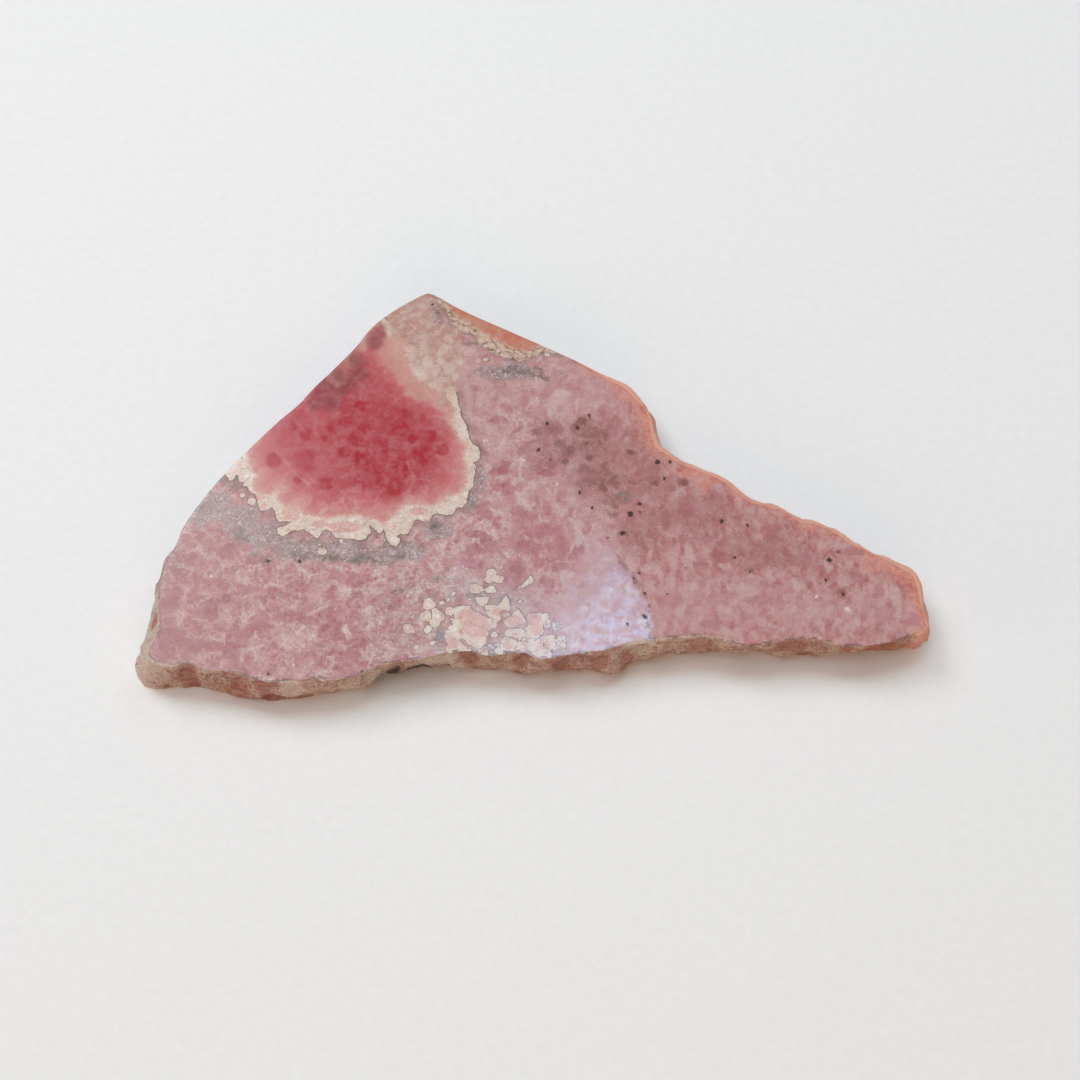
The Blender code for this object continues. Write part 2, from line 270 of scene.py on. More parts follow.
GREY_STAINS = (
    (298, 558, 12, 7), (267, 560, 6, 5), (256, 552, 7, 4), (202, 508, 6, 5), (360, 560, 16, 5),
    (386, 545, 6, 3), (398, 554, 8, 4), (436, 525, 9, 6), (230, 480, 12, 4), (238, 488, 10, 4),
    (363, 671, 3, 2), (440, 636, 6, 5), (512, 371, 24, 4), (530, 374, 18, 4), (545, 379, 6, 4),
    (430, 303, 5, 7), (438, 315, 5, 7), (470, 345, 9, 3), (540, 366, 4, 3), (562, 372, 5, 3),
    (433, 345, 4, 2), (506, 354, 7, 2), (521, 361, 4, 2), (443, 378, 8, 3), (240, 535, 10, 8),
    (330, 558, 12, 5), (623, 496, 9, 6), (452, 640, 3, 5), (436, 578, 5, 5), (398, 590, 6, 5),
)
BROWN_ZONES = (
    (580, 424, 10, 10), (535, 434, 8, 5), (561, 443, 7, 5), (567, 452, 6, 9), (584, 471, 8, 6),
    (605, 465, 6, 6), (613, 500, 12, 8), (684, 483, 6, 5), (651, 482, 6, 6), (631, 452, 6, 3),
    (632, 481, 7, 4), (837, 552, 5, 4), (843, 594, 6, 5), (749, 573, 5, 4), (590, 440, 20, 16),
    (600, 480, 22, 14), (414, 334, 5, 4), (395, 322, 6, 4), (556, 430, 10, 6), (625, 533, 7, 3),
    (612, 512, 9, 4),
)
# Specks, as (x, y, radius).
RUST_SPECKS = (
    (577, 427, 3.5), (603, 488, 4.5), (566, 462, 4), (570, 450, 5), (634, 582, 2.6), (649, 606, 2.2),
    (632, 532, 1.8), (589, 458, 4), (838, 552, 3), (539, 450, 2.4), (582, 421, 5), (631, 452, 3),
    (684, 483, 4), (640, 512, 2), (656, 484, 3),
)
BLACK_SPECKS = (
    (547, 423, 2.2), (580, 492, 2.3), (587, 444, 1.8), (589, 415, 2), (592, 508, 2), (578, 428, 2),
    (658, 462, 2.8), (670, 462, 1.4), (722, 521, 2.2), (748, 525, 2.2), (608, 537, 1.3), (640, 504, 2.4),
    (630, 514, 3), (622, 533, 2.4), (645, 617, 2.6), (628, 624, 1.8), (826, 581, 2.6), (830, 560, 2.4),
    (843, 594, 2.6), (267, 560, 1.5), (299, 561, 2), (230, 491, 1.5), (210, 492, 1.8), (242, 458, 1.6),
    (268, 674, 1.6), (639, 573, 1.8), (645, 593, 1.8), (667, 594, 1.6), (550, 460, 1.4), (664, 478, 1.4),
    (539, 450, 1.4), (634, 578, 1.6), (749, 572, 1.4), (735, 557, 1.6), (363, 672, 1.6), (433, 304, 1.6),
)
WHITE_SPECKS = (
    (313, 636, 2), (337, 607, 1.6), (408, 595, 1.6), (386, 610, 1.5), (380, 622, 1.8), (417, 647, 1.8),
    (402, 568, 1.6), (414, 553, 1.5), (450, 557, 1.6), (523, 460, 1.8), (558, 484, 1.8), (484, 441, 2),
    (262, 582, 1.3), (212, 576, 1.3), (294, 664, 1.8), (611, 590, 2), (618, 639, 1.8), (647, 640, 1.8),
    (819, 638, 2), (816, 597, 1.8), (848, 609, 2.2), (349, 590, 1.3), (508, 556, 2), (520, 556, 1.5),
    (344, 553, 1.3), (463, 567, 1.4), (506, 553, 2.2), (145, 666, 2),
)
# Paler, browner stone round the nodule's top.
SUNBURNT_ZONES = (
    (412, 352, 26, 26), (400, 328, 22, 18), (428, 390, 20, 12), (408, 376, 14, 9), (440, 405, 12, 8),
    (395, 352, 14, 10), (337, 378, 9, 10), (351, 360, 9, 11), (365, 344, 8, 10),
)
SCORCHED_ZONES = ((397, 345, 13, 15), (394, 318, 8, 8), (404, 362, 9, 8), (399, 308, 10, 6))
BUFF_ZONES = (
    (412, 325, 26, 20), (428, 340, 20, 20), (402, 316, 18, 12), (438, 372, 16, 16), (420, 302, 14, 10),
    (448, 357, 16, 16), (447, 386, 9, 12), (430, 356, 20, 18), (452, 338, 10, 10), (445, 400, 6, 10),
)
# Wide tones of the stone, and where tiny dark grains are scattered.
DUSKY_ZONES = (
    (560, 452, 34, 26), (600, 462, 46, 42), (632, 447, 24, 24), (648, 482, 36, 26), (700, 515, 44, 24),
    (760, 550, 54, 24), (640, 530, 26, 24), (555, 430, 24, 14),
)
MAUVE_ZONES = (
    (690, 606, 60, 28), (745, 604, 50, 26), (820, 612, 50, 20), (600, 398, 34, 14), (880, 612, 30, 18),
    (640, 632, 30, 18), (500, 392, 36, 16), (545, 392, 26, 14), (482, 420, 10, 24), (472, 382, 16, 20),
    (468, 345, 18, 12), (452, 330, 12, 10), (545, 368, 20, 8), (494, 440, 12, 30), (600, 600, 40, 34),
)
PEPPERED_ZONES = (
    (590, 440, 50, 40), (620, 490, 50, 34), (650, 530, 40, 30), (720, 550, 60, 40), (820, 575, 60, 36),
    (645, 600, 12, 40), (300, 556, 30, 10), (240, 500, 24, 12), (262, 667, 20, 8), (700, 500, 40, 24),
)
# The edge from the foot of the left cut, over the peak, to the end of the sawn edge.
CUT_EDGE = (
    (178, 535), (212, 487), (300, 399), (392, 305), (428, 292), (480, 318), (530, 343), (566, 360),
)
# Patches on the broken wall, set at half its height.
WALL_MIDDLE = 3.0 * MM
# Partly painted light: on the left wall these spots make it paler where light falls on it; on the front wall
# they are pale dust.
WALL_PALE_AND_LIT_SPOTS = (
    (150, 640, 18, 36), (146, 666, 26, 14), (340, 680, 26, 9), (178, 672, 14, 5), (292, 694, 12, 4),
    (225, 676, 24, 5), (342, 680, 30, 6), (430, 664, 34, 5), (345, 682, 40, 7), (640, 652, 16, 4),
    (256, 684, 14, 4), (690, 646, 14, 3),
)
WALL_RED_SPOTS = (
    (189, 678, 9, 5), (240, 689, 12, 5), (268, 690, 10, 5), (281, 684, 8, 5), (305, 688, 8, 3),
    (524, 664, 12, 4), (600, 664, 8, 6), (800, 649, 26, 4), (629, 662, 8, 4), (560, 668, 14, 4),
    (470, 662, 10, 3), (700, 650, 10, 3), (335, 683, 10, 3),
)
WALL_ORANGE_SPOTS = (
    (153, 620, 4, 8), (872, 649, 24, 7), (631, 643, 8, 2), (845, 652, 10, 3), (900, 644, 12, 3),
    (222, 690, 8, 3),
)
# Painted shade: black spots where the wall's foot is hollowed under, darker towards the foot.
WALL_FOOT_SHADE_SPOTS = ((384, 670, 18, 7), (415, 664, 28, 7), (440, 662, 10, 6))
# The coral rind: patches on the face, and the worn edge that it follows.
RIND_ZONES = (
    (632, 386, 9, 8), (650, 405, 7, 14), (690, 472, 18, 8), (706, 484, 12, 6), (766, 502, 26, 8),
    (816, 525, 18, 8), (880, 562, 22, 11), (905, 576, 14, 10), (922, 605, 8, 18), (922, 636, 10, 8),
)
BACK_RIGHT_EDGE = (
    (585, 364), (612, 376), (641, 396), (654, 419), (661, 445), (680, 459), (707, 469), (738, 486),
    (780, 503), (815, 519), (854, 540), (892, 559), (912, 568), (922, 589), (930, 625),
)
# The line past which the polish fades, slower between two rows, a tarnished patch and a crack.
MATTE_EDGE = (
    (545, 440), (560, 490), (578, 520), (598, 545), (617, 562), (630, 580), (643, 602), (649, 620),
    (652, 650),
)
TARNISHED_ZONES = ((548, 538, 46, 60),)
MATTE_ROWS = (590, 520)
CRACK = (
    (617, 556), (624, 566), (634, 578), (642, 590), (649, 604), (646, 617), (649, 632), (652, 650),
)
# Painted shade: the stone darker towards the left end and low on the left, where less light falls; and,
# faintly, darker round the plum cells.
SHADE_FALLOFF_COLUMNS = (350, 190)
SHADE_FALLOFF_ZONES = ((330, 664, 80, 22),)
SHADED_ZONES = ((348, 380, 34, 26),)
# Where upright flecks begin, and the columns and rows over which grains lose their crispness.
FLECKED_FROM = (575, 480)
BLURRED_COLUMNS, BLURRED_ROWS = (420, 640), (500, 360)


def main():
    camera()
    studio()
    stone = polished_slice()
    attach(stone, "root")
    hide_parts(NODE)


# ---------------------------------------------------------------- light and floor
FLOOR_SIZE = 2.4
FLOOR_GRAIN = 900
FLOOR_GREY, FLOOR_PALE = (0.80, 0.80, 0.80), (0.83, 0.83, 0.83)
ROOM_COLOUR, ROOM_LIGHT = (1.0, 0.91, 0.83), 0.19


def area_light(name, place, size, power, colour):
    """A rectangular light at a place, turned to the stone."""
    lamp = bpy.data.lights.new(name, "AREA")
    lamp.shape = "RECTANGLE"
    lamp.size, lamp.size_y = size
    lamp.energy = power
    lamp.color = colour
    lit = bpy.data.objects.new(name, lamp)
    turn = (AIM - Vector(place)).to_track_quat("-Z", "Y").to_matrix().to_4x4()
    lit.matrix_world = Matrix.Translation(place) @ turn
    bpy.context.scene.collection.objects.link(lit)


def mirrored(right_px, up_px, distance):
    """A place whose mirror image in the polished face is that many pixels from the frame's middle."""
    ahead = Vector((AHEAD.x, AHEAD.y, -AHEAD.z))
    steeper = Vector((0, -ahead.z, ahead.y))
    way = ahead + RIGHTWARD * (right_px / FOCAL_PX) + steeper * (-up_px / FOCAL_PX)
    return AIM + way * distance


def studio():
    """A plain pale floor, a bluish window behind, a soft box above and a warm dim room."""
    bpy.ops.mesh.primitive_plane_add(size=FLOOR_SIZE)
    floor = bpy.context.object
    floor.name = "floor"
    floor.data.materials.append(floor_material())
    area_light("window", mirrored(138, -166, 0.60), (0.055, 0.065), 0.19, (0.36, 0.66, 1.0))
    area_light("back_left", (-0.36, 0.36, 0.62), (0.36, 0.36), 2.45, (0.93, 0.96, 1.0))
    area_light("back_right", (0.75, 0.75, 1.3), (0.75, 0.75), 3.0, (0.87, 0.97, 1.0))
    area_light("back_high", (0, 0.36, 1.35), (0.75, 0.30), 3.8, (0.80, 0.95, 1.0))
    area_light("overhead", (-0.30, -0.22, 1.22), (0.70, 0.70), 3.45, (0.985, 0.985, 1.0))
    area_light("side_left", (-1.25, -0.45, 0.22), (0.6, 0.4), 2.7, (1.0, 0.95, 0.93))
    area_light("warm_fill", (0, -1.2, 0.55), (1.2, 0.7), 5.0, (1.0, 0.60, 0.32))
    world = bpy.data.worlds.new("room")
    world.use_nodes = True
    backdrop = world.node_tree.nodes["Background"]
    backdrop.inputs["Color"].default_value = (*ROOM_COLOUR, 1)
    backdrop.inputs["Strength"].default_value = ROOM_LIGHT
    bpy.context.scene.world = world
    bpy.context.scene.view_settings.view_transform = "Standard"


def new_material(name):
    material = bpy.data.materials.new(name)
    material.use_nodes = True
    return material, Tree(material.node_tree)


def floor_material():
    material, tree = new_material("pale_floor")
    grain = tree.noise(tree.place(), FLOOR_GRAIN, 3)
    tree.shader("Base Color", tree.ramp(grain, ((0.3, FLOOR_GREY), (0.7, FLOOR_PALE))))
    tree.shader("Roughness", 0.9)
    return material


# ---------------------------------------------------------------- shader nodes
class Tree:
    """Short calls that add shader nodes to a node tree and link them."""

    def __init__(self, tree):
        self.nodes, self.links = tree.nodes, tree.links

    def put(self, socket, value):
        if isinstance(value, bpy.types.NodeSocket):
            self.links.new(value, socket)
        elif isinstance(value, (tuple, list)) and len(value) == 3 and socket.type == "RGBA":
            socket.default_value = (*value, 1)
        else:
            socket.default_value = value

    def shader(self, name, value):
        self.put(self.nodes["Principled BSDF"].inputs[name], value)

    def add(self, kind, **settings):
        node = self.nodes.new(kind)
        for key, value in settings.items():
            setattr(node, key, value)
        return node

    def place(self):
        return self.add("ShaderNodeTexCoord").outputs["Object"]

    def attribute(self, name):
        return self.add("ShaderNodeAttribute", attribute_name=name).outputs["Fac"]

    def calc(self, operation, *values):
        node = self.add("ShaderNodeMath", operation=operation)
        for socket, value in zip(node.inputs, values):
            self.put(socket, value)
        return node.outputs[0]

    def vector(self, operation, *values, scale=None):
        node = self.add("ShaderNodeVectorMath", operation=operation)
        for socket, value in zip(node.inputs, values):
            self.put(socket, value)
        if scale is not None:
            self.put(node.inputs["Scale"], scale)
        return node.outputs[0]

    def noise(self, where, scale, detail=2.0, rough=0.5, colour=False):
        node = self.add("ShaderNodeTexNoise")
        self.put(node.inputs["Vector"], where)
        node.inputs["Scale"].default_value = scale
        node.inputs["Detail"].default_value = detail
        node.inputs["Roughness"].default_value = rough
        return node.outputs["Color" if colour else "Fac"]

    def cells(self, where, scale, feature="F1", output="Distance"):
        node = self.add("ShaderNodeTexVoronoi", feature=feature)
        self.put(node.inputs["Vector"], where)
        node.inputs["Scale"].default_value = scale
        return node.outputs[output]

    def ramp(self, value, stops):
        """A colour for each value, from rising stops of (value, colour)."""
        node = self.add("ShaderNodeValToRGB")
        marks = node.color_ramp.elements
        while len(marks) < len(stops):
            marks.new(0.5)
        for mark, (at, _) in zip(marks, stops):
            mark.position = at
        for mark, (_, colour) in zip(marks, stops):
            mark.color = (*colour, 1)
        self.put(node.inputs["Fac"], value)
        return node.outputs["Color"]

    def step(self, value, low, high):
        """0 below low and 1 above high, smooth between."""
        node = self.add("ShaderNodeMapRange", interpolation_type="SMOOTHSTEP")
        self.put(node.inputs["Value"], value)
        node.inputs["From Min"].default_value = low
        node.inputs["From Max"].default_value = high
        if low > high:
            node.inputs["From Min"].default_value, node.inputs["From Max"].default_value = high, low
            node.inputs["To Min"].default_value, node.inputs["To Max"].default_value = 1, 0
        return node.outputs["Result"]

    def mix(self, share, first, second, blend="MIX"):
        node = self.add("ShaderNodeMix", data_type="RGBA", blend_type=blend)
        node.clamp_factor = True
        self.put(node.inputs["Factor"], share)
        self.put(node.inputs["A"], first)
        self.put(node.inputs["B"], second)
        return node.outputs["Result"]

    def stirred(self, where, scale, reach):
        """A place moved by up to half of reach by lumps of noise."""
        lumps = self.vector("SUBTRACT", self.noise(where, scale, 3, colour=True), (0.5, 0.5, 0.5))
        return self.vector("ADD", where, self.vector("SCALE", lumps, scale=reach))

    def times(self, *values):
        total = values[0]
        for value in values[1:]:
            total = self.calc("MULTIPLY", total, value)
        return total

    def line(self, value, slope, offset):
        """value x slope + offset."""
        return self.calc("MULTIPLY_ADD", value, slope, offset)

    def about_zero(self, value):
        """A noise or chance that runs round one half, moved to run round zero."""
        return self.calc("SUBTRACT", value, 0.5)

    def frayed(self, name, ragged, fray, low, high):
        """A marking's share from 0 to 1, its edge made ragged by a noise around one half."""
        share = self.calc("ADD", self.attribute(name), self.times(self.about_zero(ragged), fray))
        return self.times(self.step(share, low, high), self.step(self.attribute(name), 0.0, 0.12))

    def stain(self, under, tint, most, name, *fraying):
        """Lays a tint over a colour where a marking is, up to the share most; fraying as for frayed."""
        return self.mix(self.times(self.frayed(name, *fraying), most), under, tint)

    def in_millimetres(self):
        return self.vector("SCALE", self.place(), scale=1 / MM)

    def bump(self, height, distance, strength):
        node = self.add("ShaderNodeBump")
        node.inputs["Distance"].default_value = distance
        self.put(node.inputs["Strength"], strength)
        self.put(node.inputs["Height"], height)
        return node.outputs["Normal"]


# Albedo of each mineral, as linear red, green and blue.
ROSE = (0.390, 0.143, 0.146)
PINK = (0.462, 0.228, 0.220)
HAZE = (0.505, 0.285, 0.275)
VEIN = (0.575, 0.430, 0.405)
MAGENTA = (0.43, 0.175, 0.195)
FLECK_DARK = (0.345, 0.100, 0.102)
FLECK_MIDDLE = (0.425, 0.178, 0.166)
FLECK_PALE = (0.488, 0.288, 0.266)
RASPBERRY = (0.375, 0.030, 0.042)
CHERRY = (0.370, 0.010, 0.020)
CRIMSON = (0.445, 0.072, 0.086)
STRAWBERRY = (0.505, 0.125, 0.130)
SALMON = (0.545, 0.205, 0.190)
SHELL = (0.57, 0.285, 0.250)
PLUM = (0.250, 0.050, 0.055)
SUNBURNT = (0.50, 0.270, 0.215)
CREAM = (0.645, 0.500, 0.425)
CREAM_PALE = (0.70, 0.59, 0.52)
CREAM_PINK = (0.590, 0.335, 0.285)
OUTLINE = (0.130, 0.075, 0.052)
CORAL = (0.505, 0.170, 0.110)
CORAL_PALE = (0.515, 0.235, 0.165)
DUSK = (0.300, 0.098, 0.088)
MAUVE = (0.490, 0.295, 0.292)
ROSE_DEEP = (0.350, 0.112, 0.120)
SCORCHED = (0.545, 0.250, 0.195)
BLOTCH_DARK = (0.45, 0.225, 0.170)
BLOTCH = (0.485, 0.300, 0.250)
BLOTCH_PALE = (0.56, 0.42, 0.36)
RIND = (0.60, 0.145, 0.070)
# Partly painted light: the worn edge's coral rind, made paler than on the face to make up for the shade on the
# wall that faces away.
RIND_WORN_LIGHTENED = (0.72, 0.36, 0.26)
RIND_PALE = (0.640, 0.260, 0.180)
# Painted shade: a darkening tint for the left end of the stone.
SHADE_FALLOFF_TINT = (0.80, 0.61, 0.59)
BUFF = (0.53, 0.345, 0.262)
LILAC_DARK = (0.200, 0.140, 0.125)
LILAC = (0.310, 0.204, 0.200)
LILAC_PALE = (0.505, 0.390, 0.380)
GREY = (0.150, 0.122, 0.100)
BROWN = (0.225, 0.075, 0.050)
RUST = (0.205, 0.058, 0.036)
BLACK = (0.045, 0.032, 0.026)
WHITE = (0.68, 0.60, 0.59)
DUST = (0.70, 0.44, 0.33)
DUST_DARK = (0.40, 0.18, 0.125)
DUST_PALE = (0.82, 0.64, 0.53)
WALL_ROSE = (0.52, 0.18, 0.14)
WALL_RED = (0.42, 0.085, 0.060)
WALL_ORANGE = (0.56, 0.16, 0.06)
SAWN_PALE = (0.58, 0.42, 0.395)
STONE_IOR = 1.6
# The polished face's roughness, and what matte stone, dull patches and single grains add to it.
POLISH_ROUGHNESS, MATTE_ROUGHNESS, DULL_ROUGHNESS, GRAIN_ROUGHNESS = 0.105, 0.28, 0.11, 0.06
WALL_ROUGHNESS, SAWN_ROUGHNESS = 0.75, 0.7
POLISH_BUMP, WALL_BUMP, SAW_BUMP = 0.00002, 0.0004, 0.00006
SAW_PLACE = (160.0, 90.0, 0.0)  # how far the middle of the saw's arcs lies outside the stone, in millimetres


def stone_pattern():
    """A node group with the stone's colour, its roughness where polished, and a height for its grain."""
    group = bpy.data.node_groups.new("stone_pattern", "ShaderNodeTree")
    for name, kind in (("Color", "Color"), ("Roughness", "Float"), ("Height", "Float")):
        group.interface.new_socket(name, in_out="OUTPUT", socket_type="NodeSocket" + kind)
    tree = Tree(group)
    ends = tree.add("NodeGroupOutput")
    where = tree.in_millimetres()
    warped = tree.stirred(tree.stirred(where, 0.45, 1.5), 2.1, 0.45)
    fine = tree.noise(where, 3.4, 6, 0.7)
    colour = groundmass(tree, where, warped)
    colour = zones(tree, colour, where, warped)
    colour = coral_nodule(tree, colour, warped)
    colour = large_nodule(tree, colour, where, fine)
    colour = cream_spherulites(tree, colour, where, fine)
    colour = specks(tree, colour, where, fine)
    calm = tree.line(tree.step(tree.attribute("nodule_pink"), -0.3, 0.6), -0.6, 1.0)
    strength = tree.times(tree.line(tree.attribute("crisp"), 1.55, -0.20), calm)
    speckle = tree.line(tree.about_zero(fine), strength, 1.0)
    tree.put(ends.inputs["Color"], tree.mix(1.0, colour, speckle, "MULTIPLY"))
    dull = tree.step(tree.noise(warped, 0.9, 5, 0.65), 0.44, 0.58)
    rough = tree.line(tree.attribute("matte"), MATTE_ROUGHNESS, POLISH_ROUGHNESS)
    rough = tree.line(fine, GRAIN_ROUGHNESS, rough)
    tree.put(ends.inputs["Roughness"], tree.line(dull, DULL_ROUGHNESS, rough))
    tree.put(ends.inputs["Height"], fine)
    return group


def grains(tree, where, warped, scale, palette, seam, shift, reach):
    """Interlocking grains of three tones in a pale granular mesh, which is missing in places."""
    dark, middle, light = palette
    chance = tree.about_zero(tree.cells(warped, scale, "F1", "Color"))
    edge = tree.cells(warped, scale, "DISTANCE_TO_EDGE")
    drift = tree.calc("ADD", tree.noise(warped, scale * 0.8, 4, 0.6), shift)
    colour = tree.ramp(tree.line(chance, 0.26, drift), ((0.32, dark), (0.49, middle), (0.68, light)))
    present = tree.step(tree.noise(warped, scale * 0.7, 3), 0.42, 0.62)
    web = tree.times(tree.step(edge, reach, 0.0), present)
    colour = tree.mix(tree.times(web, 0.50), colour, seam)
    crisp = tree.attribute("crisp")
    thin = tree.times(tree.step(edge, 0.07, 0.0), present, tree.step(crisp, 0.35, 1.0))
    colour = tree.mix(tree.times(thin, 0.42), colour, CREAM_PALE)
    crumbs = tree.times(tree.step(tree.noise(where, 3.2, 4, 0.8), 0.50, 0.62), crisp)
    return tree.mix(tree.times(tree.step(edge, reach * 1.3, 0.0), present, crumbs, 0.58), colour, WHITE)


def groundmass(tree, where, warped):
    """Translucent rose grains in a paler mesh, finer upright flecks in the right half, and painted shade
    towards the left end.
    """
    # Painted shade: grains shifted to darker tones towards the left end.
    deep = tree.times(tree.attribute("deep"), -0.15)
    rosy = (ROSE, PINK, HAZE)
    large = grains(tree, where, warped, 0.50, rosy, VEIN, deep, 0.28)
    small = grains(tree, where, warped, 1.05, rosy, VEIN, deep, 0.32)
    coarse = tree.mix(tree.step(tree.noise(where, 0.22, 3), 0.40, 0.60), large, small)
    upright = tree.vector("MULTIPLY", warped, (1.2, 0.8, 1.0))
    flecky = (FLECK_DARK, FLECK_MIDDLE, FLECK_PALE)
    flecks = grains(tree, where, upright, 0.90, flecky, FLECK_PALE, 0.0, 0.42)
    colour = tree.mix(tree.attribute("flecked"), coarse, flecks)
    patch = tree.mix(tree.step(tree.noise(where, 0.3, 2), 0.42, 0.58), ROSE_DEEP, MAGENTA)
    mottle = tree.noise(warped, 0.8, 5, 0.7)
    for tint, most, name, ragged, fray, low, high in (
        (patch, 0.72, "rose", tree.noise(warped, 1.3, 4, 0.6), 1.4, 0.25, 0.75),
        (VEIN, 0.42, "pale", tree.noise(warped, 1.6, 5, 0.65), 2.2, 0.35, 0.95),
        (VEIN, 0.65, "veins", tree.noise(where, 2.4, 4, 0.75), 4.5, 0.45, 1.0),
        (DUSK, 0.55, "dusky", mottle, 2.6, 0.1, 1.1),
        (MAUVE, 0.30, "mauve", mottle, 2.2, 0.1, 1.1),
    ):
        colour = tree.stain(colour, tint, most, name, ragged, fray, low, high)
    # Painted shade: the colour multiplied darker towards the left end.
    return tree.mix(tree.attribute("deep"), colour, tree.mix(1.0, colour, SHADE_FALLOFF_TINT, "MULTIPLY"))


def zones(tree, colour, where, warped):
    """Grey-lilac chalcedony with stains, brown zones, and the coral rind of the worn edge."""
    mottle = tree.noise(warped, 1.2, 8, 0.78)
    lilac = tree.ramp(mottle, ((0.39, LILAC_DARK), (0.48, LILAC), (0.54, LILAC), (0.63, LILAC_PALE)))
    here = tree.frayed("lilac", mottle, 2.6, 0.10, 0.90)
    colour = tree.mix(tree.times(here, 0.82), colour, lilac)
    crumbs = tree.noise(where, 3.6, 5, 0.8)
    colour = tree.mix(tree.times(here, tree.step(crumbs, 0.54, 0.63), 0.72), colour, WHITE)
    colour = tree.mix(tree.times(here, tree.step(crumbs, 0.46, 0.36), 0.60), colour, LILAC_DARK)
    spread = tree.noise(warped, 0.9, 6, 0.75)
    rind = tree.mix(tree.step(mottle, 0.44, 0.58), RIND, RIND_PALE)
    colour = tree.stain(colour, GREY, 0.8, "grey", tree.noise(warped, 1.3, 8, 0.8), 5.0, 0.30, 1.3)
    colour = tree.stain(colour, BROWN, 0.8, "brown", spread, 4.0, 0.25, 1.3)
    colour = tree.stain(colour, BROWN, 0.6, "crack", spread, 3.5, 0.35, 0.9)
    return tree.stain(colour, rind, 0.78, "rind", mottle, 4.0, 0.10, 1.3)


def rim_line(tree, depth, width):
    """A thin dark line where a depth passes zero."""
    return tree.step(tree.calc("ABSOLUTE", depth), width, width * 0.3)


def creamy(tree, where):
    """Cream spherulite rind: bright beads and pinkish hearts, mottled."""
    bead = tree.about_zero(tree.cells(where, 1.1, "SMOOTH_F1", "Color"))
    tone = tree.line(bead, 0.4, tree.noise(where, 1.1, 4, 0.55))
    cream = tree.ramp(tone, ((0.24, CREAM_PINK), (0.36, CREAM), (0.54, CREAM), (0.66, CREAM_PALE)))
    cream = tree.stain(cream, CREAM_PINK, 0.90, "hearts", tree.noise(where, 1.8, 4), 1.0, 0.15, 0.70)
    crease = tree.step(tree.cells(tree.stirred(where, 1.5, 0.5), 0.9, "DISTANCE_TO_EDGE"), 0.07, 0.0)
    creased = tree.step(tree.noise(where, 1.3, 3), 0.50, 0.62)
    return tree.mix(tree.times(crease, creased, 0.42), cream, OUTLINE)


def coral_nodule(tree, colour, warped):
    """The nodule at the sawn edge: a crumbly buff rim round coral."""
    jitter = tree.times(tree.about_zero(tree.noise(warped, 1.6, 4, 0.6)), 1.6)
    rim = tree.calc("ADD", tree.attribute("coral_rim"), jitter)
    crumbly = tree.ramp(tree.noise(warped, 1.7, 5, 0.7), ((0.38, GREY), (0.48, BUFF), (0.62, CREAM)))
    colour = tree.mix(tree.step(rim, -0.08, 0.10), colour, crumbly)
    coral = tree.mix(tree.step(tree.noise(warped, 0.5, 4), 0.38, 0.62), CORAL, CORAL_PALE)
    heart = tree.calc("ADD", tree.attribute("coral_heart"), jitter)
    colour = tree.mix(tree.step(heart, -0.5, 0.8), colour, coral)
    return tree.mix(tree.times(rim_line(tree, rim, 0.26), 0.40), colour, GREY)


def large_nodule(tree, colour, where, fine):
    """Raspberry core, salmon outside it and a cream rim, in rounded cells with soft pale seams."""
    rag = tree.about_zero(tree.noise(where, 2.6, 4, 0.6))
    rim = tree.line(rag, 0.55, tree.attribute("nodule_rim"))
    pink = tree.line(rag, 1.3, tree.attribute("nodule_pink"))
    soft = tree.stirred(where, 0.5, 0.8)
    chance = tree.about_zero(tree.cells(soft, 0.55, "F1", "Color"))
    lean = tree.line(tree.calc("SUBTRACT", 0.45, tree.cells(soft, 0.55)), 0.16, tree.times(chance, 0.60))
    depth = tree.calc("ADD", tree.step(pink, -0.6, 6.0), tree.times(lean, 0.38))
    body = tree.ramp(depth, ((0.02, SHELL), (0.16, SALMON), (0.46, STRAWBERRY), (0.96, CRIMSON)))
    top = tree.mix(tree.step(tree.noise(soft, 1.2, 4), 0.35, 0.65), SUNBURNT, SHELL)
    body = tree.stain(body, top, 0.9, "sunburnt", tree.noise(soft, 1.0, 4), 1.0, 0.1, 0.9)
    core = tree.line(lean, 0.40, tree.attribute("core"))
    body = tree.mix(tree.times(tree.step(core, 0.05, 1.0), 0.48), body, RASPBERRY)
    body = tree.stain(body, PLUM, 0.80, "shade", tree.noise(soft, 1.2, 4), 0.6, 0.1, 1.0)
    seam = tree.step(tree.cells(soft, 0.55, "DISTANCE_TO_EDGE"), 0.20, 0.0)
    body = tree.mix(tree.times(seam, tree.step(tree.noise(soft, 0.6, 3), 0.42, 0.62), 0.17), body, SALMON)
    body = tree.mix(tree.times(tree.attribute("dark_cells"), 0.75), body, CHERRY)
    body = tree.stain(body, SHELL, 0.28, "seams", fine, 1.6, 0.2, 0.9)
    body = tree.mix(tree.step(pink, 0.45, -0.45), body, creamy(tree, where))
    colour = tree.mix(tree.times(tree.step(rim, -1.4, -0.1), 0.30), colour, LILAC_DARK)
    colour = tree.mix(tree.step(rim, -0.05, 0.05), colour, body)
    colour = tree.mix(tree.times(rim_line(tree, rim, 0.11), 0.85), colour, OUTLINE)
    scorch = tree.mix(tree.step(chance, -0.25, 0.25), SCORCHED, SHELL)
    colour = tree.stain(colour, scorch, 0.85, "scorched", tree.noise(soft, 1.2, 5), 1.8, 0.1, 1.0)
    spread = tree.noise(soft, 1.1, 6, 0.7)
    blotch = tree.ramp(spread, ((0.36, BLOTCH_DARK), (0.50, BLOTCH), (0.64, BLOTCH_PALE)))
    return tree.stain(colour, blotch, 0.88, "buff", spread, 1.6, 0.12, 0.8)


